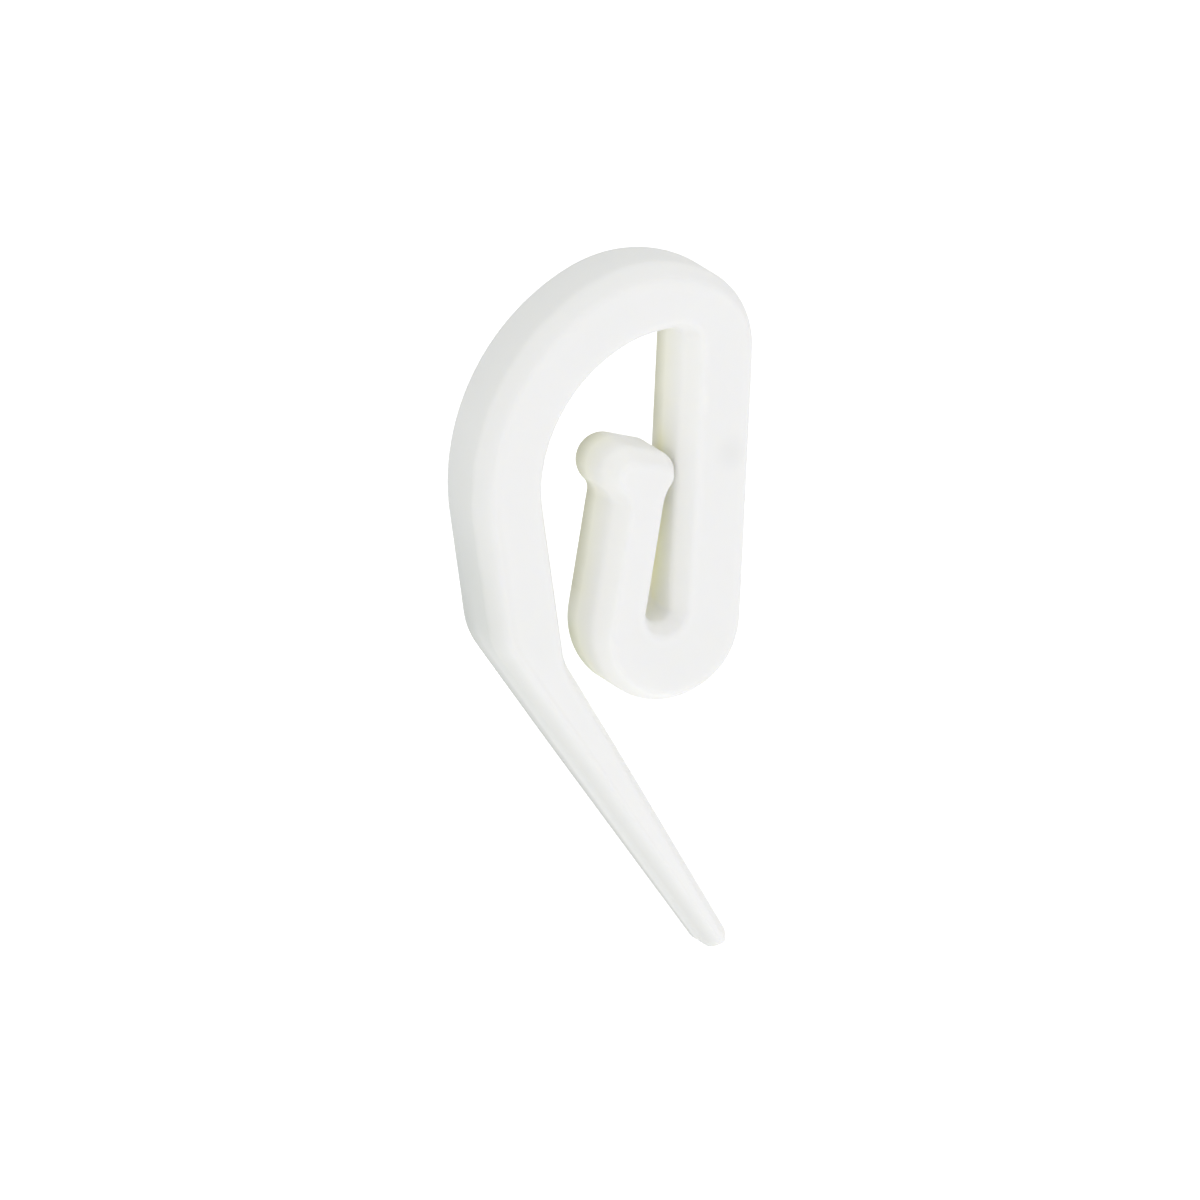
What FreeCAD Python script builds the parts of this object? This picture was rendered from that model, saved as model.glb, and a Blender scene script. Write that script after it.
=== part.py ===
import FreeCAD, Part
import math
import os

import Sketcher
from FreeCAD import Vector

# One-piece moulded curtain hook. Its outline lies in the XZ plane and its front face looks along -Y.
# The origin is the seat at the top of the loop, where the glider's eye bears when the hook hangs.
# The outline is one closed run of lines and tangent arcs, walked with the plastic on the right:
# down the inside of the loop and arm to the tip, back up the outside and over the crown, down the leg,
# round the bow and up the tongue, over its head, and back up the slot to the seat.

NODE = "curtain_hook"

# Millimetres, and degrees for each lean, turn and slope.
SIZES = {
    # section
    "thickness": 4.2,
    "bevel_depth": 0.9,
    "bevel_inset": 0.5,
    "crease_round": 0.8,
    "edge_round": 0.1,
    # loop and crown
    "loop_radius": 6.28,
    "corner_round": 0.4,
    "crown_height": 3.12,
    "crown_radius": 6.15,
    "nose_radius": 4.0,
    "nose_turn": 61.3,
    "back_radius": 9.65,
    # arm and point
    "arm_width": 3.29,
    "arm_lean": 8.6,
    "bend_inner_radius": 2.5,
    "bend_outer_radius": 3.55,
    "mouth_gap": 1.2,
    "point_turn": 22.35,
    "point_root_width": 2.17,
    "point_length": 15.05,
    "tip_land": 0.08,
    "slope_gap": 0.4,
    "slope_bend": 60.0,
    "point_slope": 3.0,
    # leg and bow
    "leg_width": 3.38,
    "leg_lean": 2.5,
    "slot_radius": 0.58,
    "slot_drop": 12.5,
    "bow_offset": 0.6,
    # tongue and its barbed head
    "tongue_width": 2.44,
    "tongue_lean": 9.6,
    "barb_height": 6.55,
    "left_barb_reach": 0.8,
    "left_barb_radius": 1.15,
    "left_neck_radius": 0.75,
    "barb_gap": 0.1,
    "right_barb_radius": 0.95,
    "right_neck_radius": 1.6,
}

# Kinds of step in the outline, and the sketch's own numbers for ends, centres, origin and upright axis.
LINE, LEFT, RIGHT = 0, 1, -1
START, END, CENTRE = 1, 2, 3
ROOT, UPRIGHT = -1, -2

# How far along Y the side walls, the bevels and the two faces may look.
WALL = (0.0, 0.05)
BEVEL = (0.1, 0.8)
FACE = (0.9, 1.0)

# Level of the start of the point's slopes below the seat: under the bow, by a gap.
SLOPE_START = ("Sizes.slot_drop + Sizes.bow_offset + Sizes.slot_radius"
               " + (Sizes.leg_width + Sizes.tongue_width) / 2 + Sizes.slope_gap")


def heading(degrees):
    """Unit vector at an angle from +X."""
    angle = math.radians(degrees)
    return Vector(math.cos(angle), math.sin(angle), 0)


def left_of(way):
    """The vector turned a quarter to the left."""
    return Vector(-way.y, way.x, 0)


def last_meeting(point, way, centre, distance):
    """Where the line through point leaves the circle about centre."""
    offset = point - centre
    along = offset.dot(way)
    half_chord = math.sqrt(along ** 2 - offset.dot(offset) + distance ** 2)
    return point + way * (half_chord - along)


def at_level(point, way, level):
    """Where the line through point reaches a level."""
    return point + way * ((level - point.y) / way.y)


def crossing(point, way, other, other_way):
    """Where two lines cross."""
    gap = other - point
    return point + way * (gap.cross(other_way).z / way.cross(other_way).z)


def loop_and_arm(size, bow):
    """Inside of the loop and arm, just long enough to leave the mouth open between the bow and the point."""
    down = heading(270 + size["arm_lean"])
    way = heading(270 + size["arm_lean"] + size["point_turn"])
    bend_radius = size["bend_inner_radius"]
    loop_centre = Vector(0, -size["loop_radius"], 0)
    top = loop_centre - left_of(down) * size["loop_radius"]
    to_bow = bow["bow_centre"] - top - left_of(down) * bend_radius
    spare = to_bow.dot(left_of(way)) + bend_radius - bow["bow_radius"] - size["mouth_gap"]
    foot = top + down * (spare / down.dot(left_of(way)))
    return {"down": down, "way": way, "loop_centre": loop_centre, "arm_top": top, "arm_foot": foot,
            "arm_outside": top - left_of(down) * size["arm_width"]}


def point_and_tip(size, arm):
    """Bend from the arm into the point, whose outer side runs from its root width to a round tip."""
    down = arm["down"]
    way = arm["way"]
    tip_radius = size["bevel_inset"] + size["tip_land"]
    inner_centre = arm["arm_foot"] + left_of(down) * size["bend_inner_radius"]
    root = inner_centre - left_of(way) * size["bend_inner_radius"]
    tip = root + way * size["point_length"]
    tip_centre = tip - left_of(way) * tip_radius
    span = tip_centre - root
    narrowing = size["point_root_width"] - tip_radius
    normal_angle = math.atan2(span.y, span.x) - math.acos(narrowing / span.Length)
    outward = heading(math.degrees(normal_angle))
    outer_way = left_of(outward)
    corner = crossing(arm["arm_outside"], down, root + outward * size["point_root_width"], outer_way)
    tangent = size["bend_outer_radius"] * math.tan(down.getAngle(outer_way) / 2)
    outer_top = corner - down * tangent
    return {"inner_centre": inner_centre, "root": root, "tip": tip, "tip_centre": tip_centre,
            "tip_under": tip_centre + outward * tip_radius,
            "outer_foot": corner + outer_way * tangent, "outer_top": outer_top,
            "outer_centre": outer_top + left_of(down) * size["bend_outer_radius"]}


def leg_lines(size):
    """Direction of the leg, and a point on each of its sides level with the corner round."""
    up = heading(90 - size["leg_lean"])
    out = heading(-size["leg_lean"])
    corner_centre = Vector(0, -size["corner_round"], 0)
    inner = corner_centre + out * size["corner_round"]
    return {"up": up, "out": out, "corner_centre": corner_centre, "leg_inside": inner,
            "leg_outside": inner + out * size["leg_width"]}


def crown(size, arm, leg):
    """Three arcs over the top: the back above the arm, the crown, and the nose above the leg."""
    down = arm["down"]
    back_step = size["back_radius"] - size["crown_radius"]
    nose_step = size["crown_radius"] - size["nose_radius"]
    nose_way = heading(size["nose_turn"] - size["leg_lean"])
    nose_level = size["crown_height"] - size["crown_radius"] + nose_way.y * nose_step
    nose_centre = at_level(leg["leg_outside"] - leg["out"] * size["nose_radius"], leg["up"], nose_level)
    crown_centre = nose_centre - nose_way * nose_step
    back_line = arm["arm_outside"] + left_of(down) * size["back_radius"]
    back_centre = last_meeting(back_line, down, crown_centre, back_step)
    back_way = (crown_centre - back_centre) * (1 / back_step)
    return {"back_centre": back_centre, "crown_centre": crown_centre, "nose_centre": nose_centre,
            "back_foot": back_centre - left_of(down) * size["back_radius"],
            "back_join": crown_centre + back_way * size["crown_radius"],
            "nose_join": nose_centre + nose_way * size["nose_radius"],
            "nose_foot": nose_centre + leg["out"] * size["nose_radius"]}


def bow_and_slot(size, leg):
    """Round floor of the slot beside the leg, the tongue's sides, and the bow that joins tongue and leg."""
    tongue_up = heading(90 - size["tongue_lean"])
    tongue_out = heading(-size["tongue_lean"])
    slot_line = leg["leg_inside"] - leg["out"] * size["slot_radius"]
    slot_centre = at_level(slot_line, leg["up"], -size["slot_drop"])
    slot_left = slot_centre - tongue_out * size["slot_radius"]
    tongue_side = (slot_left - tongue_out * size["tongue_width"]).dot(tongue_out)
    both = tongue_out + leg["out"]
    level = -(size["slot_drop"] + size["bow_offset"])
    across = (tongue_side + leg["leg_outside"].dot(leg["out"]) - level * both.y) / both.x
    bow_centre = Vector(across, level, 0)
    bow_radius = bow_centre.dot(tongue_out) - tongue_side
    return {"tongue_up": tongue_up, "tongue_out": tongue_out, "bow_centre": bow_centre,
            "bow_radius": bow_radius, "bow_start": bow_centre + leg["out"] * bow_radius,
            "foot": bow_centre - tongue_out * bow_radius, "slot_centre": slot_centre,
            "slot_left": slot_left, "slot_right": slot_centre + leg["out"] * size["slot_radius"]}


def barb(size, hand, side, across):
    """One barb in tongue axes, across from its middle and up from its foot, with the neck below it."""
    half_width = size["tongue_width"] / 2
    radius = size[hand + "_barb_radius"]
    neck_radius = size[hand + "_neck_radius"]
    centre = Vector(across, size["barb_height"], 0)
    neck_across = side * (half_width + neck_radius)
    drop = math.sqrt((radius + neck_radius) ** 2 - (neck_across - across) ** 2)
    neck_centre = Vector(neck_across, centre.y - drop, 0)
    join = centre + (neck_centre - centre) * (radius / (radius + neck_radius))
    return {"centre": centre, "radius": radius, "neck_centre": neck_centre, "neck_join": join,
            "neck_foot": Vector(side * half_width, neck_centre.y, 0)}


def head(size, leg, bow):
    """The two barbs and the straight top that touches both, moved from tongue axes into the outline."""
    half_width = size["tongue_width"] / 2
    middle = bow["foot"] + bow["tongue_out"] * half_width
    to_leg = leg["leg_inside"] - middle - bow["tongue_up"] * size["barb_height"]
    room = to_leg.dot(leg["out"]) - size["right_barb_radius"] - size["barb_gap"]
    left = barb(size, "left", -1, size["left_barb_radius"] - half_width - size["left_barb_reach"])
    right = barb(size, "right", 1, room / bow["tongue_out"].dot(leg["out"]))
    gap = left["centre"] - right["centre"]
    turn = math.acos((right["radius"] - left["radius"]) / gap.Length)
    normal = heading(math.degrees(math.atan2(gap.y, gap.x) - turn))
    points = {}
    for hand, side in (("left", left), ("right", right)):
        side["top"] = side["centre"] + normal * side["radius"]
        for name in ("centre", "neck_centre", "neck_join", "neck_foot", "top"):
            spot = side[name]
            points[hand + "_" + name] = middle + bow["tongue_out"] * spot.x + bow["tongue_up"] * spot.y
    return points


def outline(size):
    """The closed run of the outline: name, kind, start, end and centre of each line and arc."""
    seat = Vector(0, 0, 0)
    leg = leg_lines(size)
    bow = bow_and_slot(size, leg)
    tongue = head(size, leg, bow)
    arm = loop_and_arm(size, bow)
    point = point_and_tip(size, arm)
    top = crown(size, arm, leg)
    steps = [
        ("loop", LEFT, arm["arm_top"], arm["loop_centre"]),
        ("arm_inside", LINE, arm["arm_foot"], None),
        ("inner_bend", LEFT, point["root"], point["inner_centre"]),
        ("point_inside", LINE, point["tip"], None),
        ("tip", RIGHT, point["tip_under"], point["tip_centre"]),
        ("point_outside", LINE, point["outer_foot"], None),
        ("outer_bend", RIGHT, point["outer_top"], point["outer_centre"]),
        ("arm_outside", LINE, top["back_foot"], None),
        ("back", RIGHT, top["back_join"], top["back_centre"]),
        ("crown", RIGHT, top["nose_join"], top["crown_centre"]),
        ("nose", RIGHT, top["nose_foot"], top["nose_centre"]),
        ("leg_outside", LINE, bow["bow_start"], None),
        ("bow", RIGHT, bow["foot"], bow["bow_centre"]),
        ("tongue_left", LINE, tongue["left_neck_foot"], None),
        ("left_neck", LEFT, tongue["left_neck_join"], tongue["left_neck_centre"]),
        ("left_barb", RIGHT, tongue["left_top"], tongue["left_centre"]),
        ("head_top", LINE, tongue["right_top"], None),
        ("right_barb", RIGHT, tongue["right_neck_join"], tongue["right_centre"]),
        ("right_neck", LEFT, tongue["right_neck_foot"], tongue["right_neck_centre"]),
        ("tongue_right", LINE, bow["slot_left"], None),
        ("slot", LEFT, bow["slot_right"], bow["slot_centre"]),
        ("leg_inside", LINE, leg["leg_inside"], None),
        ("corner", LEFT, seat, leg["corner_centre"]),
    ]
    run = []
    start = seat
    for name, kind, end, centre in steps:
        run.append((name, kind, start, end, centre))
        start = end
    return run


def piece_of_outline(kind, start, end, centre):
    """Sketch geometry of one step; an arc always runs anticlockwise, so a right turn is stored backwards."""
    if kind == LINE:
        return Part.LineSegment(start, end)
    first, last = (start, end) if kind == LEFT else (end, start)
    angles = [math.atan2(spot.y - centre.y, spot.x - centre.x) for spot in (first, last)]
    circle = Part.Circle(centre, Vector(0, 0, 1), (start - centre).Length)
    return Part.ArcOfCircle(circle, angles[0], angles[1])


def tie(sketch, name, formula, kind, *where):
    """Adds a driving constraint and binds it to the sheet."""
    value = sketch.evalExpression(formula)
    if kind == "Angle":
        value = math.radians(value)
    index = sketch.addConstraint(Sketcher.Constraint(kind, *where, value))
    sketch.renameConstraint(index, name)
    sketch.setExpression("Constraints." + name, formula)


def draw_outline(sketch, size):
    """Draws the outline with every joint tangent, and gives each step's index and its ends along the walk."""
    index = {}
    ends = {}
    run = outline(size)
    for name, kind, start, end, centre in run:
        index[name] = sketch.addGeometry(piece_of_outline(kind, start, end, centre), False)
        ends[name] = (END, START) if kind == RIGHT else (START, END)
    names = [step[0] for step in run]
    for name, after in zip(names, names[1:] + names[:1]):
        sketch.addConstraint(Sketcher.Constraint("Tangent", index[name], ends[name][1],
                                                 index[after], ends[after][0]))
    return index, ends


def tie_radii(sketch, index):
    """Binds every radius but the bow's, which follows from its level and the two sides it touches."""
    radii = {"loop": "loop_radius", "inner_bend": "bend_inner_radius", "outer_bend": "bend_outer_radius",
             "back": "back_radius", "crown": "crown_radius", "nose": "nose_radius",
             "corner": "corner_round", "slot": "slot_radius",
             "left_neck": "left_neck_radius", "left_barb": "left_barb_radius",
             "right_neck": "right_neck_radius", "right_barb": "right_barb_radius"}
    for name, alias in radii.items():
        tie(sketch, name + "_r", "Sizes." + alias, "Radius", index[name])
    tie(sketch, "tip_r", "Sizes.bevel_inset + Sizes.tip_land", "Radius", index["tip"])


def tie_directions(sketch, index):
    """Binds the lean of every straight side and the turn of the nose."""
    arm = "Sizes.arm_lean - 90"
    tie(sketch, "arm_angle", arm, "Angle", index["arm_inside"])
    tie(sketch, "point_angle", arm + " + Sizes.point_turn", "Angle", index["point_inside"])
    tie(sketch, "leg_angle", "90 - Sizes.leg_lean", "Angle", index["leg_inside"])
    tie(sketch, "tongue_angle", "90 - Sizes.tongue_lean", "Angle", index["tongue_left"])
    tie(sketch, "nose_angle", "Sizes.nose_turn", "Angle", index["nose"])
    for name, other in (("arm_inside", "arm_outside"), ("leg_inside", "leg_outside"),
                        ("tongue_left", "tongue_right")):
        sketch.addConstraint(Sketcher.Constraint("Parallel", index[name], index[other]))


def tie_places(sketch, index, ends):
    """Binds the widths, lengths and heights, measured from the seat where they are levels."""
    sketch.addConstraint(Sketcher.Constraint("Coincident", index["loop"], ends["loop"][0], ROOT, START))
    sketch.addConstraint(Sketcher.Constraint("PointOnObject", index["loop"], CENTRE, UPRIGHT))
    tie(sketch, "mouth_gap", "Sizes.mouth_gap", "Distance", index["bow"], index["point_inside"])
    tie(sketch, "point_length", "Sizes.point_length", "Distance", index["point_inside"])
    tie(sketch, "arm_width", "Sizes.arm_width", "Distance", index["arm_inside"], START, index["arm_outside"])
    tie(sketch, "root_width", "Sizes.point_root_width", "Distance",
        index["point_inside"], START, index["point_outside"])
    tie(sketch, "leg_width", "Sizes.leg_width", "Distance", index["leg_inside"], END, index["leg_outside"])
    tie(sketch, "tongue_width", "Sizes.tongue_width", "Distance",
        index["tongue_left"], START, index["tongue_right"])
    tie(sketch, "crown_level", "Sizes.crown_radius - Sizes.crown_height", "DistanceY",
        index["crown"], CENTRE, ROOT, START)
    tie(sketch, "slot_level", "Sizes.slot_drop", "DistanceY", index["slot"], CENTRE, ROOT, START)
    tie(sketch, "bow_level", "Sizes.slot_drop + Sizes.bow_offset", "DistanceY",
        index["bow"], CENTRE, ROOT, START)


def tie_head(sketch, index, size):
    """Binds the barbs' height over the tongue's foot, the left one's reach and the right one's gap."""
    bow = bow_and_slot(size, leg_lines(size))
    foot_line = sketch.addGeometry(Part.LineSegment(bow["bow_centre"], bow["foot"]), True)
    sketch.addConstraint(Sketcher.Constraint("Coincident", foot_line, START, index["bow"], CENTRE))
    sketch.addConstraint(Sketcher.Constraint("Coincident", foot_line, END, index["tongue_left"], START))
    for barb_name in ("left_barb", "right_barb"):
        tie(sketch, barb_name + "_height", "Sizes.barb_height", "Distance",
            index[barb_name], CENTRE, foot_line)
    tie(sketch, "left_reach", "Sizes.tongue_width + Sizes.left_barb_reach - Sizes.left_barb_radius",
        "Distance", index["left_barb"], CENTRE, index["tongue_right"])
    tie(sketch, "right_gap", "Sizes.right_barb_radius + Sizes.barb_gap",
        "Distance", index["right_barb"], CENTRE, index["leg_inside"])


def fill_sheet(doc):
    """Puts every size into the sheet, name beside value."""
    sheet = doc.addObject("Spreadsheet::Sheet", "Sizes")
    for row, (alias, value) in enumerate(SIZES.items(), 1):
        sheet.set(f"A{row}", alias)
        sheet.set(f"B{row}", str(value))
        sheet.setAlias(f"B{row}", alias)
    doc.recompute()
    return {alias: float(sheet.get(alias)) for alias in SIZES}


def origin_plane(body, role):
    """One of the body's own origin planes."""
    return [feature for feature in body.Origin.OriginFeatures if feature.Role == role][0]


def new_sketch(body, name, role):
    """An empty sketch on one of the body's own origin planes."""
    sketch = body.newObject("Sketcher::SketchObject", name)
    sketch.AttachmentSupport = [(origin_plane(body, role), "")]
    sketch.MapMode = "FlatFace"
    body.Document.recompute()
    return sketch


def draw_blank(body, size):
    """The outline, fully bound to the sheet, padded through the thickness about the middle plane."""
    sketch = new_sketch(body, "Outline", "XZ_Plane")
    index, ends = draw_outline(sketch, size)
    tie_radii(sketch, index)
    tie_directions(sketch, index)
    tie_places(sketch, index, ends)
    tie_head(sketch, index, size)
    body.Document.recompute()
    pad = body.newObject("PartDesign::Pad", "Blank")
    pad.Profile = sketch
    pad.SideType = "Symmetric"
    pad.setExpression("Length", "Sizes.thickness")
    body.Document.recompute()
    return pad


def draw_slope(sketch, size):
    """The wedge that the front of the point loses: a gentle bend that starts below the bow, then a slope."""
    face = -size["thickness"] / 2
    start = -float(sketch.evalExpression(SLOPE_START))
    way = heading(size["point_slope"] - 90)
    centre = Vector(face + size["slope_bend"], start, 0)
    bend_foot = centre - left_of(way) * size["slope_bend"]
    foot = bend_foot + way * ((start - size["point_length"] - bend_foot.y) / way.y)
    corners = [bend_foot, foot, Vector(2 * face, foot.y, 0), Vector(2 * face, start, 0),
               Vector(face, start, 0)]
    bend = sketch.addGeometry(piece_of_outline(LEFT, corners[-1], bend_foot, centre), False)
    slope, floor, outside, roof = [sketch.addGeometry(Part.LineSegment(first, last), False)
                                   for first, last in zip(corners, corners[1:])]
    sketch.addConstraint(Sketcher.Constraint("Tangent", bend, END, slope, START))
    for first, last in ((slope, floor), (floor, outside), (outside, roof), (roof, bend)):
        sketch.addConstraint(Sketcher.Constraint("Coincident", first, END, last, START))
    sketch.addConstraint(Sketcher.Constraint("Horizontal", bend, CENTRE, bend, START))
    sketch.addConstraint(Sketcher.Constraint("Horizontal", floor))
    sketch.addConstraint(Sketcher.Constraint("Horizontal", roof))
    sketch.addConstraint(Sketcher.Constraint("Vertical", outside))
    tie(sketch, "bend_radius", "Sizes.slope_bend", "Radius", bend)
    tie(sketch, "slope_angle", "Sizes.point_slope - 90", "Angle", slope)
    tie(sketch, "face_level", "Sizes.thickness / 2", "DistanceX", bend, START, ROOT, START)
    tie(sketch, "outside_level", "Sizes.thickness", "DistanceX", outside, START, ROOT, START)
    tie(sketch, "start_level", SLOPE_START, "DistanceY", bend, START, ROOT, START)
    tie(sketch, "foot_level", SLOPE_START + " + Sizes.point_length", "DistanceY", slope, END, ROOT, START)


def thin_point(body, size):
    """Slopes both faces of the point towards each other, from below the bow to the tip."""
    sketch = new_sketch(body, "Slope", "YZ_Plane")
    draw_slope(sketch, size)
    body.Document.recompute()
    cut = body.newObject("PartDesign::Pocket", "FrontSlope")
    cut.Profile = sketch
    cut.Type = "ThroughAll"
    cut.SideType = "Symmetric"
    body.Document.recompute()
    both = body.newObject("PartDesign::Mirrored", "BothSlopes")
    both.Originals = [cut]
    both.MirrorPlane = (origin_plane(body, "XZ_Plane"), [""])
    body.Tip = both
    body.Document.recompute()
    return both


def lean(face, spot):
    """How far a face at this spot looks along Y: 0 on a side wall, 1 on the front and back."""
    return abs(face.normalAt(*face.Surface.parameter(spot)).y)


def edges_where(shape, low, high):
    """Names of the edges whose less and more leaning faces lie within the two given ranges."""
    names = []
    for number, edge in enumerate(shape.Edges, 1):
        spot = edge.valueAt((edge.FirstParameter + edge.LastParameter) / 2)
        leans = sorted(lean(face, spot) for face in shape.ancestorsOfType(edge, Part.Face))
        if low[0] <= leans[0] <= low[1] and high[0] <= leans[-1] <= high[1]:
            names.append(f"Edge{number}")
    return names


def bevel_rim(body, base):
    """Bevels the rim of both faces, then rounds the bevel off into the side wall and into the face."""
    doc = body.Document
    bevel = body.newObject("PartDesign::Chamfer", "Bevel")
    bevel.Base = (base, edges_where(base.Shape, WALL, FACE))
    bevel.ChamferType = "Two distances"
    bevel.setExpression("Size", "Sizes.bevel_depth")
    bevel.setExpression("Size2", "Sizes.bevel_inset")
    doc.recompute()
    crease = body.newObject("PartDesign::Fillet", "CreaseRound")
    crease.Base = (bevel, edges_where(bevel.Shape, WALL, BEVEL))
    crease.setExpression("Radius", "Sizes.crease_round")
    doc.recompute()
    edge = body.newObject("PartDesign::Fillet", "EdgeRound")
    edge.Base = (crease, edges_where(crease.Shape, BEVEL, FACE))
    edge.setExpression("Radius", "Sizes.edge_round")
    doc.recompute()


def make_hook(doc, size):
    """The hook as one body: a blank of the outline, thinned towards the tip and bevelled all round."""
    body = doc.addObject("PartDesign::Body", "Hook")
    body.Label = NODE
    draw_blank(body, size)
    bevel_rim(body, thin_point(body, size))
    return body


def check(doc, body):
    """Stops if any object failed or the solid isn't sound."""
    failed = [thing.Label for thing in doc.Objects if "Invalid" in thing.State or "Error" in thing.State]
    if failed:
        raise RuntimeError("failed: " + ", ".join(failed))
    if body.Shape.isNull() or not body.Shape.isValid():
        raise RuntimeError("bad solid: " + body.Label)


doc = FreeCAD.newDocument("CurtainHook")
hook = make_hook(doc, fill_sheet(doc))
check(doc, hook)
os.makedirs("parts", exist_ok=True)
hook.Shape.exportStep(os.path.join("parts", NODE + ".step"))
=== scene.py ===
import bmesh
import bpy
import numpy as np
from mathutils import Matrix


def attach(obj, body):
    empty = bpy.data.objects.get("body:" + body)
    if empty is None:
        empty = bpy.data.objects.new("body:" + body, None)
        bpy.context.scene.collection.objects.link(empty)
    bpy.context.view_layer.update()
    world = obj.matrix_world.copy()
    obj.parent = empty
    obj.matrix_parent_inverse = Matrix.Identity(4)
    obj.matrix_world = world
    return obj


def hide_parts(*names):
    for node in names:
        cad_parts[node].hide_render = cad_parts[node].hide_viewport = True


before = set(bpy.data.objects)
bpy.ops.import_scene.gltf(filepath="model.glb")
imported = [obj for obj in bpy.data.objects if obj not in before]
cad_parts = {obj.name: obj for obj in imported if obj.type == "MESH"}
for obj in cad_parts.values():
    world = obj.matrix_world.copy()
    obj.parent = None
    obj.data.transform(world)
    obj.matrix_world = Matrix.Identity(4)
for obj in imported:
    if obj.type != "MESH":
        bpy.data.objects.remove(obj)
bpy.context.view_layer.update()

# The hook's own sizes, in millimetres and degrees. They are the solid's, apart from EDGE_ROUND: the skin
# rounds the edges of its faces more softly, and only at the tip as the solid does.
THICKNESS = 4.2
BEVEL_DEPTH, BEVEL_INSET = 0.9, 0.5
CREASE_ROUND, EDGE_ROUND, TIP_EDGE_ROUND = 0.8, 0.35, 0.1
LOOP_RADIUS, CORNER_ROUND = 6.28, 0.4
CROWN_HEIGHT, CROWN_RADIUS = 3.12, 6.15
NOSE_RADIUS, NOSE_TURN, BACK_RADIUS = 4.0, 61.3, 9.65
ARM_WIDTH, ARM_LEAN = 3.29, 8.6
BEND_INNER_RADIUS, BEND_OUTER_RADIUS = 2.5, 3.55
MOUTH_GAP, POINT_TURN = 1.2, 22.35
POINT_ROOT_WIDTH, POINT_LENGTH = 2.17, 15.05
TIP_FLAT = 0.08
TIP_RADIUS = BEVEL_INSET + TIP_FLAT
SLOPE_GAP, SLOPE_BEND, POINT_SLOPE = 0.4, 60.0, 3.0
LEG_WIDTH, LEG_LEAN = 3.38, 2.5
SLOT_RADIUS, SLOT_DROP, BOW_OFFSET = 0.58, 12.5, 0.6
TONGUE_WIDTH, TONGUE_LEAN, BARB_HEIGHT = 2.44, 9.6, 6.55
LEFT_BARB_REACH, LEFT_BARB_RADIUS, LEFT_NECK_RADIUS = 0.8, 1.15, 0.75
BARB_GAP, RIGHT_BARB_RADIUS, RIGHT_NECK_RADIUS = 0.1, 0.95, 1.6
SLOPE_START = -(SLOT_DROP + BOW_OFFSET + SLOT_RADIUS + (LEG_WIDTH + TONGUE_WIDTH) / 2 + SLOPE_GAP)

MM = 0.001
# Steps of the skin: across a face, round an edge, along the tip and along the point. Then the shares of the
# bevel's flat and of the wall at which its points lie.
FACE_STEPS, ROUND_STEPS = 8, 9
TIP_STEPS, POINT_STEPS = 12, 70
FLAT_SHARES, WALL_SHARES = np.array([0.25, 0.5, 0.75]), np.array([0.12, 0.5, 1.0])
# How far the rows of a face sag under the head's top, and how many stations before it the sag starts to
# fade.
HEAD_SAG, SAG_LEAD = 0.3, 6
# Stations each way over which the bevel and the painted light and shade pass from one side of the outline to
# the next.
BEVEL_EASE, PAINTED_LIGHT_EASE, PALE_EASE, OUTSIDE_EASE = 6, 5, 8, 30
# In metres: points nearer than the first are one, and an edge shorter than the second has no length.
SAME_PLACE, NO_LENGTH = 1e-8, 1e-9


# A point of the outline is one complex number, x + z i, and the plastic lies on the right of the walk.

def heading(degrees):
    """Unit step at an angle from +X."""
    return np.exp(1j * np.radians(degrees))


def dot(first, second):
    """Scalar product of two plane vectors."""
    return (first * np.conj(second)).real


def at_level(point, way, level):
    """Where the line through point reaches a level."""
    return point + way * ((level - point.imag) / way.imag)


def crossing(point, way, other, other_way):
    """Where two lines cross: the step along the first is the ratio of two cross products."""
    return point + way * ((np.conj(other - point) * other_way).imag / (np.conj(way) * other_way).imag)


def straight(start, end):
    """A straight side: place and outward normal at a share t of its length."""
    way = (end - start) / abs(end - start)
    return abs(end - start), lambda t: (start + (end - start) * t, np.full(np.shape(t), 1j * way))


def round_side(start, end, centre, turn):
    """An arc about centre that turns left (1, hollow) or right (-1, full).

    It gives its length, and the place and outward normal at a share t of it. The place is the centre plus the
    arm to the start, turned by that share of the sweep.
    """
    radius = abs(start - centre)
    sweep = turn * (turn * np.angle((end - centre) / (start - centre)) % (2 * np.pi))

    def spot(t):
        arm = (start - centre) * np.exp(1j * sweep * t)
        return centre + arm, -turn * arm / radius
    return radius * abs(sweep), spot


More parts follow.
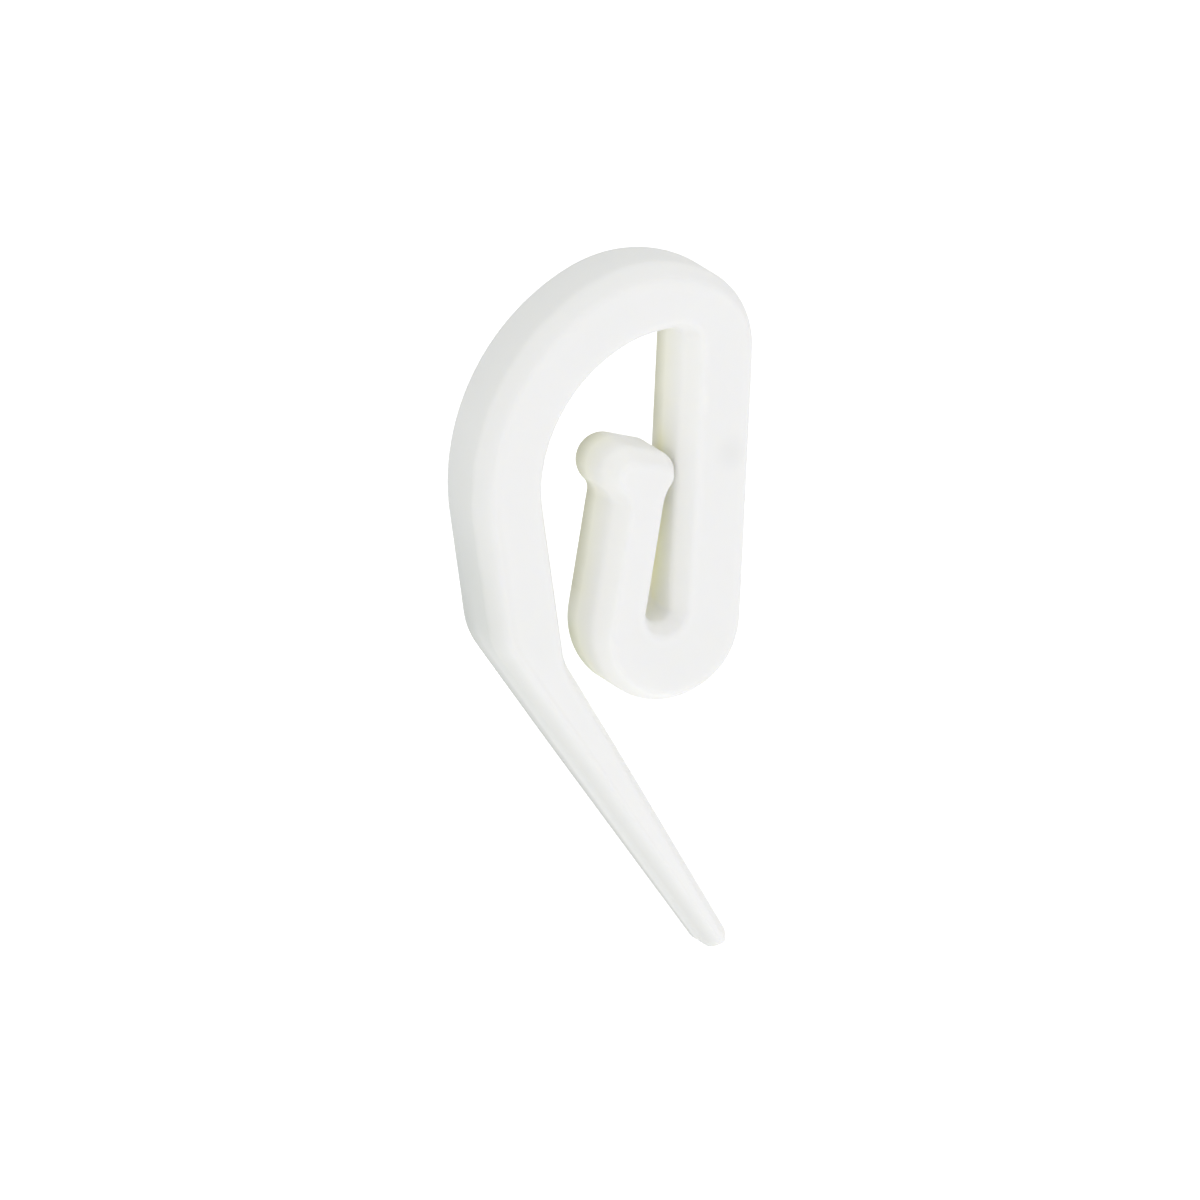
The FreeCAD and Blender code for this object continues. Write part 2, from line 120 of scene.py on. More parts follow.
def hook_sides():
    """Every side of the outline by name, in the order of the walk from the seat and back to it."""
    up, out = heading(90 - LEG_LEAN), heading(-LEG_LEAN)
    corner_centre = -1j * CORNER_ROUND
    leg_inside = corner_centre + out * CORNER_ROUND
    leg_outside = leg_inside + out * LEG_WIDTH

    tongue_up, tongue_out = heading(90 - TONGUE_LEAN), heading(-TONGUE_LEAN)
    slot_centre = at_level(leg_inside - out * SLOT_RADIUS, up, -SLOT_DROP)
    slot_left = slot_centre - tongue_out * SLOT_RADIUS
    slot_right = slot_centre + out * SLOT_RADIUS
    tongue_side = dot(slot_left - tongue_out * TONGUE_WIDTH, tongue_out)
    both, level = tongue_out + out, -(SLOT_DROP + BOW_OFFSET)
    bow_centre = (tongue_side + dot(leg_outside, out) - level * both.imag) / both.real + 1j * level
    bow_radius = dot(bow_centre, tongue_out) - tongue_side
    bow_start, foot = bow_centre + out * bow_radius, bow_centre - tongue_out * bow_radius

    middle = foot + tongue_out * TONGUE_WIDTH / 2
    room = dot(leg_inside - middle - tongue_up * BARB_HEIGHT, out) - RIGHT_BARB_RADIUS - BARB_GAP
    across = (LEFT_BARB_RADIUS - TONGUE_WIDTH / 2 - LEFT_BARB_REACH, room / dot(tongue_out, out))
    barbs, neck_feet, neck_joins, necks = [], [], [], []
    for side, shift, radius, neck in ((-1, across[0], LEFT_BARB_RADIUS, LEFT_NECK_RADIUS),
                                      (1, across[1], RIGHT_BARB_RADIUS, RIGHT_NECK_RADIUS)):
        neck_shift = side * (TONGUE_WIDTH / 2 + neck)
        drop = np.sqrt((radius + neck) ** 2 - (neck_shift - shift) ** 2)
        barb = middle + tongue_out * shift + tongue_up * BARB_HEIGHT
        neck_centre = middle + tongue_out * neck_shift + tongue_up * (BARB_HEIGHT - drop)
        barbs.append(barb)
        necks.append(neck_centre)
        neck_joins.append(barb + (neck_centre - barb) * radius / (radius + neck))
        neck_feet.append(middle + tongue_out * side * TONGUE_WIDTH / 2 + tongue_up * (BARB_HEIGHT - drop))
    span = barbs[0] - barbs[1]
    lift = span / abs(span) * np.exp(-1j * np.arccos((RIGHT_BARB_RADIUS - LEFT_BARB_RADIUS) / abs(span)))
    head_left, head_right = barbs[0] + lift * LEFT_BARB_RADIUS, barbs[1] + lift * RIGHT_BARB_RADIUS

    down, way = heading(270 + ARM_LEAN), heading(270 + ARM_LEAN + POINT_TURN)
    loop_centre = -1j * LOOP_RADIUS
    arm_top = loop_centre - 1j * down * LOOP_RADIUS
    to_bow = bow_centre - arm_top - 1j * down * BEND_INNER_RADIUS
    spare = dot(to_bow, 1j * way) + BEND_INNER_RADIUS - bow_radius - MOUTH_GAP
    arm_foot = arm_top + down * spare / dot(down, 1j * way)
    inner_centre = arm_foot + 1j * down * BEND_INNER_RADIUS
    root = inner_centre - 1j * way * BEND_INNER_RADIUS
    tip = root + way * POINT_LENGTH
    tip_centre = tip - 1j * way * TIP_RADIUS
    span = tip_centre - root
    outward = span / abs(span) * np.exp(-1j * np.arccos((POINT_ROOT_WIDTH - TIP_RADIUS) / abs(span)))
    outer_way = 1j * outward
    tip_under = tip_centre + outward * TIP_RADIUS
    arm_side = arm_top - 1j * down * ARM_WIDTH
    elbow = crossing(arm_side, down, root + outward * POINT_ROOT_WIDTH, outer_way)
    tangent = BEND_OUTER_RADIUS * np.tan(np.angle(outer_way / down) / 2)
    outer_top, outer_foot = elbow - down * tangent, elbow + outer_way * tangent
    outer_centre = outer_top + 1j * down * BEND_OUTER_RADIUS

    nose_way = heading(NOSE_TURN - LEG_LEAN)
    nose_step, back_step = CROWN_RADIUS - NOSE_RADIUS, BACK_RADIUS - CROWN_RADIUS
    nose_level = CROWN_HEIGHT - CROWN_RADIUS + nose_way.imag * nose_step
    nose_centre = at_level(leg_outside - out * NOSE_RADIUS, up, nose_level)
    crown_centre = nose_centre - nose_way * nose_step
    offset = arm_side + 1j * down * BACK_RADIUS - crown_centre
    along = dot(offset, down)
    half_chord = np.sqrt(along ** 2 - abs(offset) ** 2 + back_step ** 2)
    back_centre = crown_centre + offset + down * (half_chord - along)
    back_foot = back_centre - 1j * down * BACK_RADIUS
    back_join = crown_centre + (crown_centre - back_centre) / back_step * CROWN_RADIUS
    nose_join, nose_foot = nose_centre + nose_way * NOSE_RADIUS, nose_centre + out * NOSE_RADIUS

    seat = 0j
    return {
        "loop": round_side(seat, arm_top, loop_centre, 1),
        "arm_inside": straight(arm_top, arm_foot),
        "inner_bend": round_side(arm_foot, root, inner_centre, 1),
        "point_inside": straight(root, tip),
        "tip": round_side(tip, tip_under, tip_centre, -1),
        "point_outside": straight(tip_under, outer_foot),
        "outer_bend": round_side(outer_foot, outer_top, outer_centre, -1),
        "arm_outside": straight(outer_top, back_foot),
        "back": round_side(back_foot, back_join, back_centre, -1),
        "crown": round_side(back_join, nose_join, crown_centre, -1),
        "nose": round_side(nose_join, nose_foot, nose_centre, -1),
        "leg_outside": straight(nose_foot, bow_start),
        "bow": round_side(bow_start, foot, bow_centre, -1),
        "tongue_left": straight(foot, neck_feet[0]),
        "left_neck": round_side(neck_feet[0], neck_joins[0], necks[0], 1),
        "left_barb": round_side(neck_joins[0], head_left, barbs[0], -1),
        "head_top": straight(head_left, head_right),
        "right_barb": round_side(head_right, neck_joins[1], barbs[1], -1),
        "right_neck": round_side(neck_joins[1], neck_feet[1], necks[1], 1),
        "tongue_right": straight(neck_feet[1], slot_left),
        "slot": round_side(slot_left, slot_right, slot_centre, 1),
        "leg_inside": straight(slot_right, leg_inside),
        "corner": round_side(leg_inside, seat, corner_centre, 1),
    }


# The hook is one bent strip from the tip to the head. Each stretch pairs its outer sides with its inner one
# and gives the number of its stations.
STRETCHES = [
    (("tip",), "tip", TIP_STEPS),
    (("point_outside",), "point_inside", POINT_STEPS),
    (("outer_bend",), "inner_bend", 16),
    (("arm_outside",), "arm_inside", 28),
    (("back", "crown"), "loop", 130),
    (("nose",), "corner", 30),
    (("leg_outside",), "leg_inside", 60),
    (("bow",), "slot", 70),
    (("tongue_left",), "tongue_right", 28),
    (("left_neck",), "right_neck", 14),
    (("left_barb",), "right_barb", 34),
    (("head_top",), "head_top", 9),
]
# The tip and the head's top close the strip's ends: the share of each that lies on the outer rim.
HALVES = {"tip": (0.5, 1.0), "head_top": (0.0, 0.5)}
# The bevel's inset on the sides where it is a little wider or narrower than BEVEL_INSET.
BEVELS = {"tip": 0.47, "tip_inside": 0.47, "point_outside": 0.47, "point_inside": 0.46, "inner_bend": 0.46,
          "arm_outside": 0.58, "arm_inside": 0.46, "back": 0.58, "loop": 0.46, "leg_outside": 0.46,
          "leg_inside": 0.58, "slot": 0.46, "tongue_left": 0.57, "left_neck": 0.57, "left_barb": 0.57,
          "tongue_right": 0.45, "right_neck": 0.45, "right_barb": 0.45}
# How much painted light and shade each side has: on the sides round the tongue, painted shade towards the back
# face and painted bounce light further forward; in the slot, yellow painted light; on the bow's left half,
# painted shade and light; on the pale sides, painted light; on the outer sides of arm and point, painted shade,
# and more of it on the point's lower side. Below SLOT_TOP and to the left of BOW_RIGHT, the slot's and the
# bow's painted light and shade come in over a fade.
HOLLOW_PAINTED_SHADING = {"tongue_left": 1.0, "left_neck": 1.0, "left_barb": 1.0, "leg_inside": 1.0, "corner": 0.6}
SLOT_PAINTED_LIGHT = {"slot": 0.6, "leg_inside": 1.0}
SLOT_TOP, SLOT_FADE = -4.5, 2.5
BOW_PAINTED_SHADING = {"bow": 1.0}
BOW_RIGHT, BOW_FADE = 1.0, 2.5
PALE_PAINTED_LIGHT = {"back": 0.5, "nose": 0.5, "head_top": 0.8, "head_top_inside": 0.8, "point_inside": 0.8,
        "inner_bend": 0.5, "tongue_right": 1.0, "right_neck": 1.0, "slot": 0.5}
OUTSIDE_PAINTED_SHADE = {"tip": 1.0, "point_outside": 1.0, "outer_bend": 1.0, "arm_outside": 1.0, "back": 0.4}
POINT = {"tip": 1.0, "point_outside": 1.0}


def along_sides(sides, names, share):
    """Place and normal at a share of the joined length of some sides.

    Each side fills the places whose share lies between its own start and end.
    """
    lengths = np.array([sides[name][0] for name in names])
    ends = np.cumsum(lengths) / lengths.sum()
    starts = ends - lengths / lengths.sum()
    which = np.minimum(np.searchsorted(ends, share, side="left"), len(names) - 1)
    place, normal = np.zeros(share.shape, complex), np.zeros(share.shape, complex)
    for number, name in enumerate(names):
        here = which == number
        place[here], normal[here] = sides[name][1](((share - starts[number]) / (ends - starts)[number])[here])
    return place, normal


def strip_edges():
    """Both edges of the strip, station by station: outer and inner places with their outward normals."""
    sides = hook_sides()
    columns = []
    for number, (outer, inner, count) in enumerate(STRETCHES):
        last = number == len(STRETCHES) - 1
        share = np.linspace(0, 1, count + last, endpoint=last)
        low, high = HALVES.get(outer[0], (0.0, 1.0))
        outer_share = low + (high - low) * share
        inner_share = 1 - outer_share if outer[0] in HALVES else 1 - share
        columns.append(along_sides(sides, outer, outer_share) + along_sides(sides, (inner,), inner_share))
    return [np.concatenate(column) for column in zip(*columns)]


def rim_values(table, usual, ease):
    """A number by side for each station of the outer and of the inner rim, as a mean over its neighbours.

    The inner half of a side that both rims share goes by its name with _inside added.
    """
    counts = [count for _, _, count in STRETCHES]
    counts[-1] += 1
    rims = []
    for names in ([outer[0] for outer, _, _ in STRETCHES],
                  [inner + "_inside" * (inner in HALVES) for _, inner, _ in STRETCHES]):
        value = np.pad(np.repeat([table.get(name, usual) for name in names], counts), ease, mode="edge")
        rims.append(np.convolve(value, np.ones(2 * ease + 1), mode="valid")[:, None] / (2 * ease + 1))
    return rims


def rim_profile(bevel_inset, edge_round, half):
    """Section of the rim at every station, as inset + depth i: edge round, bevel, crease round and wall.

    A round of radius r in a corner that turns by an angle leaves each straight at r tan(half the turn) from
    the corner and follows an arc between them. The bevel's inset, the edge round and half the thickness are
    given at each station, and the wall ends at that half.
    """
    bevel_way = (-bevel_inset + 1j * BEVEL_DEPTH) / abs(bevel_inset + 1j * BEVEL_DEPTH)
    face_way, wall_way = np.full_like(bevel_way, -1), np.full_like(bevel_way, 1j)
    run = []
    for corner, before, after, radius in ((bevel_inset, face_way, bevel_way, edge_round),
                                          (1j * BEVEL_DEPTH, bevel_way, wall_way, CREASE_ROUND)):
        turn = np.angle(after / before)
        start = corner - before * radius * np.tan(abs(turn) / 2)
        centre = start + 1j * np.sign(turn) * before * radius
        run.append(centre + (start - centre) * np.exp(1j * turn * np.linspace(0, 1, ROUND_STEPS)))
    flats = run[0][:, -1:] + (run[1][:, :1] - run[0][:, -1:]) * FLAT_SHARES
    wall = run[1][:, -1:] + 1j * (half - run[1][:, -1:].imag) * WALL_SHARES
    return np.concatenate([run[0], flats, run[1], wall], axis=1)


def thinning(level):
    """What each face of the point has lost at a level: an arc where the slope starts, then a straight slope."""
    slope = np.radians(POINT_SLOPE)
    below = np.maximum(SLOPE_START - level, 0)
    arc_end = SLOPE_BEND * np.sin(slope)
    bend = SLOPE_BEND - np.sqrt(SLOPE_BEND ** 2 - np.minimum(below, arc_end) ** 2)
    return bend + np.maximum(below - arc_end, 0) * np.tan(slope)


def head_share(middle, lift):
    """Share of the sag at each station: it grows as the sections rise from neck to top and fades to the end."""
    neck_steps, barb_steps, top_steps = (count for _, _, count in STRETCHES[-3:])
    left = np.arange(len(middle) - 1, -1, -1.0)[:, None]
    top = len(middle) - 1 - top_steps
    neck = top - barb_steps - neck_steps
    rise = dot(middle, lift)
    risen = (rise - rise[neck]) / (rise[top] - rise[neck])
    risen = np.where(left > neck_steps + barb_steps + top_steps, 0, risen)
    return np.clip(np.minimum(left / (top_steps + SAG_LEAD), risen), 0, 1)


def hook_skin():
    """The hook's skin: a closed section carried along the strip from the tip to the head.

    The section runs across the front face from the inner to the outer edge, round the outer rim, back across
    the other face and round the inner rim. A rim point is the edge's place less its normal times the profile's
    inset. Its y is half the thickness, less the point's thinning at that level, less the profile's depth. Under
    the head's straight top the rows of the flat faces sag as parabolas, so that they don't lie on one line.
    """
    outer, outer_normal, inner, inner_normal = (column[:, None] for column in strip_edges())
    up_the_point = np.clip((np.arange(len(outer)) - TIP_STEPS) / POINT_STEPS, 0, 1)[:, None]
    edge_round = TIP_EDGE_ROUND + (EDGE_ROUND - TIP_EDGE_ROUND) * up_the_point
    bevels = rim_values(BEVELS, BEVEL_INSET, BEVEL_EASE)
    rims, depths = [], []
    for place, normal, bevel in zip((outer, inner), (outer_normal, inner_normal), bevels):
        run = rim_profile(bevel, edge_round, THICKNESS / 2 - thinning(place.imag))
        rims.append(place - normal * np.concatenate([run.real, run.real[:, -2::-1]], axis=1))
        depths.append(np.concatenate([run.imag, run.imag[:, -2::-1]], axis=1))
    half_rim = np.ones(run.shape[1] - 1)
    side = np.concatenate([-half_rim, [0.0], half_rim])
    share = np.linspace(0, 1, FACE_STEPS + 1)[1:-1]
    front = rims[1][:, :1] + (rims[0][:, :1] - rims[1][:, :1]) * share
    middle, lift = (rims[0][:, :1] + rims[1][:, :1]) / 2, outer_normal[-1]
    front = front - lift * HEAD_SAG * head_share(middle, lift) * 4 * share * (1 - share)
    flat, ones = np.zeros(front.shape), np.ones(len(share))
    plane = np.concatenate([front, rims[0], front[:, ::-1], rims[1][:, ::-1]], axis=1)
    deep = np.concatenate([flat, depths[0], flat, depths[1][:, ::-1]], axis=1)
    facing = np.concatenate([-ones, side, ones, side[::-1]])
    y = facing * (THICKNESS / 2 - thinning(plane.imag) - deep)
    return np.stack([plane.real, y, plane.imag], axis=2) * MM


def painted_light_weights(table, ease, ring):
    """Weight of painted light and shade at each point of the skin: none on flat faces, the side's own number on
    its rim.
    """
    outer, inner = rim_values(table, 0.0, ease)
    face = np.zeros(FACE_STEPS - 1)
    rim = np.ones(ring // 2 - len(face))
    outer_part = np.concatenate([face, rim, face, 0 * rim])
    inner_part = np.concatenate([face, 0 * rim, face, rim])
    return outer * outer_part + inner * inner_part


def skin_mesh(name, grid, tints):
    """A closed mesh from a grid of sections; the end sections fold flat, so their double points are merged.

    Each tint becomes a number on the points, under its own name.
    """
    rows, ring = grid.shape[:2]
    number = np.arange(rows * ring).reshape(rows, ring)
    after = np.roll(number, -1, axis=1)
    faces = np.stack([number[:-1], after[:-1], after[1:], number[1:]], axis=2).reshape(-1, 4)
    mesh = bpy.data.meshes.new(name)
    mesh.from_pydata(grid.reshape(-1, 3).tolist(), [], faces.tolist())
    for tint, weights in tints.items():
        mesh.attributes.new(tint, "FLOAT", "POINT").data.foreach_set("value", weights.ravel())
    work = bmesh.new()
    work.from_mesh(mesh)
    bmesh.ops.remove_doubles(work, verts=work.verts, dist=SAME_PLACE)
    bmesh.ops.dissolve_degenerate(work, edges=work.edges, dist=NO_LENGTH)
    bmesh.ops.recalc_face_normals(work, faces=work.faces)
    work.to_mesh(mesh)
    work.free()
    mesh.polygons.foreach_set("use_smooth", np.ones(len(mesh.polygons), bool))
    piece = bpy.data.objects.new(name, mesh)
    bpy.context.collection.objects.link(piece)
    return piece


# Painted light and shade on the sides, from the back face (0) to the front face (1): colours darker than PLAIN
# are painted shade and lighter ones are painted light. Each row goes over those before.
PLAIN = (0.925, 0.926, 0.921)
PAINTED_LIGHT_AND_SHADE = {
    # Sides round the tongue: painted shade towards the back face, painted bounce light further forward.
    "hollow": [(0.02, PLAIN), (0.2, (0.6, 0.6, 0.46)), (0.45, (0.95, 0.95, 0.83)),
               (0.78, (0.99, 0.99, 0.95)), (0.97, (0.985, 0.985, 0.96)), (1.0, PLAIN)],
    # Inside the slot: yellow painted light, standing for light that soaks through the plastic into the slot.
    "slot": [(0.2, PLAIN), (0.4, (1.0, 0.97, 0.6)), (0.52, (1.0, 1.0, 0.76)),
             (0.78, (1.0, 1.0, 0.95)), (1.0, PLAIN)],
    # Bow's left half: painted shade towards the back face, painted light further forward.
    "bow": [(0.02, PLAIN), (0.2, (0.64, 0.65, 0.5)), (0.45, (0.99, 1.0, 0.86)),
            (0.82, (1.0, 1.0, 0.97)), (0.97, (1.0, 1.0, 0.985)), (1.0, PLAIN)],
    # Pale sides: painted light.
    "pale": [(0.2, (0.985, 0.985, 0.96)), (0.85, (0.99, 0.99, 0.975)), (1.0, PLAIN)],
    # Outer sides of arm and point: painted shade.
    "outside_painted_shade": [(0.0, PLAIN), (0.2, (0.6, 0.625, 0.605)), (0.35, (0.65, 0.675, 0.65)),
                (0.75, (0.71, 0.73, 0.7)), (0.8, (0.79, 0.805, 0.775)), (1.0, (0.9, 0.902, 0.89))],
    # Point's lower side: a band of deeper painted shade.
    "point": [(0.0, PLAIN), (0.28, (0.6, 0.61, 0.59)), (0.4, (0.69, 0.7, 0.68)),
              (0.52, (0.83, 0.84, 0.82)), (0.8, (0.79, 0.8, 0.78)), (1.0, (0.9, 0.902, 0.895))],
}
# A faint smudge on the leg's face: its middle, how far it reaches, how much it darkens and its colour.
SMUDGE, SMUDGE_REACH = (2.3, -2.1, -5.65), 1.1
SMUDGE_SHADE, SMUDGE_COLOUR = 0.05, (0.1, 0.1, 0.1)
# The plastic's finish, with lengths in metres and scales per metre: its gloss, the light that soaks in, the
# mottling between two colours, the unevenness of the painted light and shade and the grain.
ROUGHNESS, GLOSS = 0.55, 0.2
SOAK_SHARE, SOAK_DEPTH, SOAK_BY_COLOUR = 0.4, 0.0005, (1.0, 0.95, 0.8)
MOTTLE_SCALE, MOTTLE_DETAIL = 180.0, 4.0
MOTTLE = [(0.3, (0.915, 0.917, 0.91)), (0.7, (0.935, 0.936, 0.933))]
SWAY_SCALE, SWAY_DETAIL, SWAY = 700.0, 3.0, 0.035
GRAIN_SCALE, GRAIN_DETAIL, GRAIN_STRENGTH, GRAIN_HEIGHT = 2500.0, 3.0, 0.05, 0.0001


def cloudy(tree, place, scale, detail):
    """Noise from 0 to 1 on the hook's own coordinates."""
    cloud = tree.nodes.new("ShaderNodeTexNoise")
    cloud.inputs["Scale"].default_value = scale
    cloud.inputs["Detail"].default_value = detail
    tree.links.new(place, cloud.inputs["Vector"])
    return cloud.outputs["Fac"]


def carried(tree, name):
    """A number that the skin's points carry under a name."""
    number = tree.nodes.new("ShaderNodeAttribute")
    number.attribute_name = name
    return number.outputs["Fac"]


def colour_row(tree, value, stops):
    """The colour at a value, straight between the stops on either side of it."""
    ramp = tree.nodes.new("ShaderNodeValToRGB")
    band = ramp.color_ramp.elements
    for end in (0, -1):
        spot, colour = stops[end]
        band[end].position, band[end].color = spot, (*colour, 1)
    for spot, colour in stops[1:-1]:
        band.new(spot).color = (*colour, 1)
    tree.links.new(value, ramp.inputs["Fac"])
    return ramp.outputs["Color"]


def colour_mix(tree, share):
    """A mix that lays a share of its colour B over its colour A."""
    mix = tree.nodes.new("ShaderNodeMix")
    mix.data_type = "RGBA"
    tree.links.new(share, mix.inputs["Factor"])
    return mix


def moulded_plastic():
    """Off-white moulded plastic: soft, a little translucent, faintly mottled and grained, with one smudge.

    Over the mottled colour, each side with painted light and shade has a row of colours from the back face to
    the front one, by the weight that its points carry: painted shade darker than the plastic, painted light
    paler. Noise moves the place in the row a little, so that its bands aren't ruled.
    """
    plastic = bpy.data.materials.new("moulded_plastic")
    plastic.use_nodes = True
    tree = plastic.node_tree
    nodes, links = tree.nodes, tree.links
    shader = nodes["Principled BSDF"]
    shader.inputs["Roughness"].default_value = ROUGHNESS
    shader.inputs["Specular IOR Level"].default_value = GLOSS
    shader.inputs["Subsurface Weight"].default_value = SOAK_SHARE
    shader.inputs["Subsurface Radius"].default_value = SOAK_BY_COLOUR
    shader.inputs["Subsurface Scale"].default_value = SOAK_DEPTH
    place = nodes.new("ShaderNodeTexCoord").outputs["Object"]

    sway = nodes.new("ShaderNodeMapRange")
    sway.inputs["To Min"].default_value = -SWAY
    sway.inputs["To Max"].default_value = SWAY
    links.new(cloudy(tree, place, SWAY_SCALE, SWAY_DETAIL), sway.inputs["Value"])
    across = nodes.new("ShaderNodeMath")
    across.operation = "ADD"
    links.new(carried(tree, "across"), across.inputs[0])
    links.new(sway.outputs["Result"], across.inputs[1])

    away = nodes.new("ShaderNodeVectorMath")
    away.operation = "DISTANCE"
    away.inputs[1].default_value = [step * MM for step in SMUDGE]
    links.new(place, away.inputs[0])
    smudge = nodes.new("ShaderNodeMapRange")
    smudge.interpolation_type = "SMOOTHSTEP"
    smudge.inputs["From Max"].default_value = SMUDGE_REACH * MM
    smudge.inputs["To Min"].default_value = SMUDGE_SHADE
    smudge.inputs["To Max"].default_value = 0.0
    links.new(away.outputs["Value"], smudge.inputs["Value"])

    coat = colour_mix(tree, smudge.outputs["Result"])
    coat.inputs["B"].default_value = (*SMUDGE_COLOUR, 1)
    mottle = cloudy(tree, place, MOTTLE_SCALE, MOTTLE_DETAIL)
    links.new(colour_row(tree, mottle, MOTTLE), coat.inputs["A"])
    for name, stops in PAINTED_LIGHT_AND_SHADE.items():
        below, coat = coat, colour_mix(tree, carried(tree, name))
        links.new(below.outputs["Result"], coat.inputs["A"])
        links.new(colour_row(tree, across.outputs["Value"], stops), coat.inputs["B"])
    links.new(coat.outputs["Result"], shader.inputs["Base Color"])

    bump = nodes.new("ShaderNodeBump")
    bump.inputs["Strength"].default_value = GRAIN_STRENGTH
    bump.inputs["Distance"].default_value = GRAIN_HEIGHT
    links.new(cloudy(tree, place, GRAIN_SCALE, GRAIN_DETAIL), bump.inputs["Height"])
    links.new(bump.outputs["Normal"], shader.inputs["Normal"])
    return plastic


skin = hook_skin()
sideways, depth, level = np.moveaxis(skin / MM, 2, 0)
ring = skin.shape[1]
# Where the painted light and shade lie: the slot's painted light below SLOT_TOP, the bow's left of BOW_RIGHT,
# and the painted shade of the outer sides and the point fading out towards the tip's end.
from_tip = np.clip(np.arange(len(skin)) / TIP_STEPS, 0, 1)[:, None]
in_slot = np.clip((SLOT_TOP - level) / SLOT_FADE, 0, 1)
on_bow = np.clip((BOW_RIGHT - sideways) / BOW_FADE, 0, 1)
# Each point carries where it lies from the back face to the front one, and its weight of each kind of painted
# light and shade.
hook = skin_mesh("hook_skin", skin, {
    "across": 0.5 - depth / (THICKNESS - 2 * thinning(level)),
    "hollow": painted_light_weights(HOLLOW_PAINTED_SHADING, PAINTED_LIGHT_EASE, ring),
    "slot": painted_light_weights(SLOT_PAINTED_LIGHT, PAINTED_LIGHT_EASE, ring) * in_slot,
    "bow": painted_light_weights(BOW_PAINTED_SHADING, PAINTED_LIGHT_EASE, ring) * on_bow,
    "pale": painted_light_weights(PALE_PAINTED_LIGHT, PALE_EASE, ring),
    "outside_painted_shade": painted_light_weights(OUTSIDE_PAINTED_SHADE, OUTSIDE_EASE, ring) * from_tip,
    "point": painted_light_weights(POINT, OUTSIDE_EASE, ring) * from_tip,
})
hook.data.materials.append(moulded_plastic())
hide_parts("curtain_hook")
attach(hook, "root")


# Camera of the photograph: turned to the hook's left and looking down on it, from far away. Lengths are in
# millimetres, but its near and far limits in metres.
YAW, PITCH, ROLL = np.radians([26.747, 18.258, 0.354])
FOCUS = np.array([-3.419, 0.0, -12.821])
AIM_RIGHT, AIM_UP = 0.509, 0.723
DISTANCE, LENS = 994.0, 698.0
NEAR, FAR = 0.05, 20.0


def photo_camera():
    """A camera whose axes are the view's right, up and backward directions."""
    back = np.array([-np.sin(YAW) * np.cos(PITCH), -np.cos(YAW) * np.cos(PITCH), np.sin(PITCH)])
    level = np.array([np.cos(YAW), -np.sin(YAW), 0.0])
    rise = np.array([np.sin(YAW) * np.sin(PITCH), np.cos(YAW) * np.sin(PITCH), np.cos(PITCH)])
    right = np.cos(ROLL) * level + np.sin(ROLL) * rise
    up = -np.sin(ROLL) * level + np.cos(ROLL) * rise
    place = FOCUS + AIM_RIGHT * right + AIM_UP * up + DISTANCE * back
    turned = np.eye(4)
    turned[:3, :3] = np.stack([right, up, back], axis=1)
    turned[:3, 3] = place * MM
    data = bpy.data.cameras.new("photo_camera")
    data.lens = LENS
    data.clip_start, data.clip_end = NEAR, FAR
    camera = bpy.data.objects.new("photo_camera", data)
    camera.matrix_world = Matrix(turned.tolist())
    bpy.context.collection.objects.link(camera)
    bpy.context.scene.camera = camera


def soft_lamp(name, place, size, power):
    """A square soft lamp aimed at the middle of the hook."""
    data = bpy.data.lights.new(name, "AREA")
    data.size = size
    data.energy = power
    lamp = bpy.data.objects.new(name, data)
    back = np.array(place) - FOCUS * MM
    back = back / np.linalg.norm(back)
    right = np.cross([0, 0, 1.0], back)
    right = right / np.linalg.norm(right)
    turned = np.eye(4)
    turned[:3, :3] = np.stack([right, np.cross(back, right), back], axis=1)
    turned[:3, 3] = place
    lamp.matrix_world = Matrix(turned.tolist())
    bpy.context.collection.objects.link(lamp)


# Studio, in metres and watts: the light from all round and what each direction adds to it, a soft lamp in
# front, and the floor's place, finish and glow, with what the camera sees on top of that glow.
WHITE = (1, 1, 1, 1)
SKY_LEVEL, SKY_LEAN = 0.555, (-0.02, -0.14, 0.47)
LAMP_PLACE, LAMP_SIZE, LAMP_POWER = (0.3, -1.0, 0.1), 0.5, 0.2
FLOOR_REACH, FLOOR_LEVEL = 3.0, -0.09
FLOOR_COLOUR, FLOOR_ROUGHNESS = (0.85, 0.85, 0.85, 1), 0.9
FLOOR_GLOW, CAMERA_GLOW = 0.3, 0.26


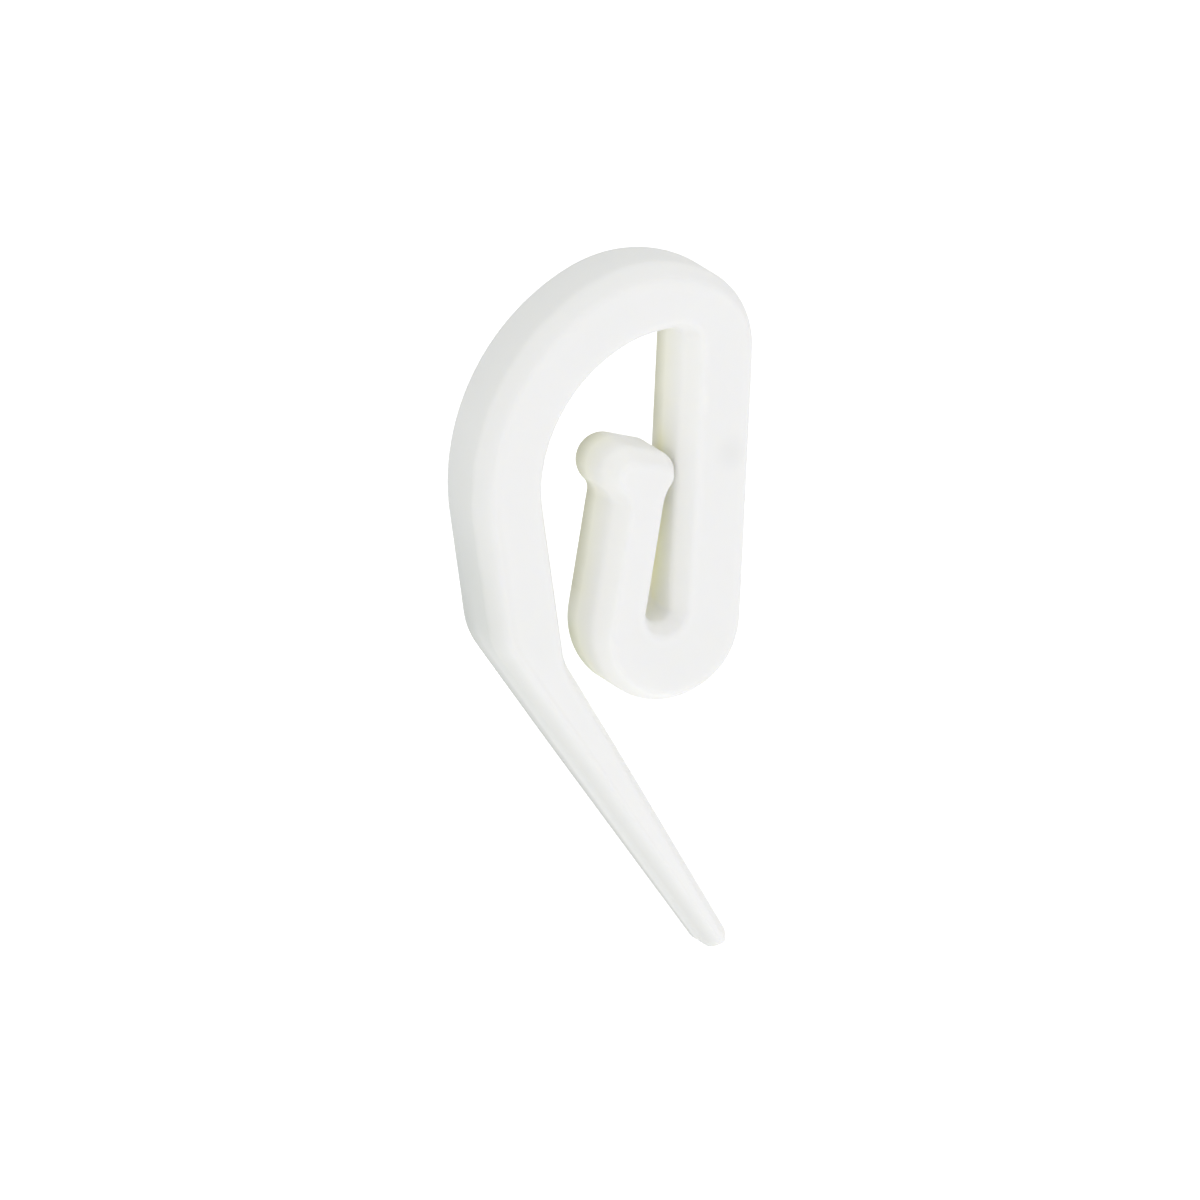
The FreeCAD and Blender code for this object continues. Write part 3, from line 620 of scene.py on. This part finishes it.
def studio_light():
    """Soft light from all round, brighter from above and from the front, and a soft lamp.

    The light from a direction is a level plus the direction's dot product with a lean. The camera sees white.
    """
    world = bpy.data.worlds.new("studio")
    bpy.context.scene.world = world
    world.use_nodes = True
    nodes, links = world.node_tree.nodes, world.node_tree.links
    around = nodes["Background"]
    around.inputs["Color"].default_value = WHITE
    where = nodes.new("ShaderNodeTexCoord")
    lean = nodes.new("ShaderNodeVectorMath")
    lean.operation = "DOT_PRODUCT"
    lean.inputs[1].default_value = SKY_LEAN
    links.new(where.outputs["Generated"], lean.inputs[0])
    strength = nodes.new("ShaderNodeMath")
    strength.operation = "ADD"
    strength.inputs[1].default_value = SKY_LEVEL
    links.new(lean.outputs["Value"], strength.inputs[0])
    links.new(strength.outputs["Value"], around.inputs["Strength"])
    seen = nodes.new("ShaderNodeBackground")
    seen.inputs["Strength"].default_value = 1.0
    seen.inputs["Color"].default_value = WHITE
    rays = nodes.new("ShaderNodeLightPath")
    choose = nodes.new("ShaderNodeMixShader")
    links.new(rays.outputs["Is Camera Ray"], choose.inputs["Fac"])
    links.new(around.outputs["Background"], choose.inputs[1])
    links.new(seen.outputs["Background"], choose.inputs[2])
    links.new(choose.outputs["Shader"], nodes["World Output"].inputs["Surface"])
    soft_lamp("front_lamp", LAMP_PLACE, LAMP_SIZE, LAMP_POWER)


def pale_floor():
    """A wide pale floor well below the hanging hook, with a faint glow that the camera sees stronger."""
    mesh = bpy.data.meshes.new("floor")
    around = ((-1, -1), (1, -1), (1, 1), (-1, 1))
    corners = [(x * FLOOR_REACH, y * FLOOR_REACH, FLOOR_LEVEL) for x, y in around]
    mesh.from_pydata(corners, [], [(0, 1, 2, 3)])
    floor = bpy.data.objects.new("floor", mesh)
    bpy.context.collection.objects.link(floor)
    pale = bpy.data.materials.new("pale_floor")
    pale.use_nodes = True
    nodes, links = pale.node_tree.nodes, pale.node_tree.links
    shader = nodes["Principled BSDF"]
    shader.inputs["Base Color"].default_value = FLOOR_COLOUR
    shader.inputs["Roughness"].default_value = FLOOR_ROUGHNESS
    shader.inputs["Emission Color"].default_value = WHITE
    rays = nodes.new("ShaderNodeLightPath")
    glow = nodes.new("ShaderNodeMath")
    glow.operation = "MULTIPLY_ADD"
    glow.inputs[1].default_value = CAMERA_GLOW
    glow.inputs[2].default_value = FLOOR_GLOW
    links.new(rays.outputs["Is Camera Ray"], glow.inputs[0])
    links.new(glow.outputs["Value"], shader.inputs["Emission Strength"])
    mesh.materials.append(pale)


photo_camera()
studio_light()
pale_floor()
bpy.context.scene.view_settings.view_transform = "Standard"
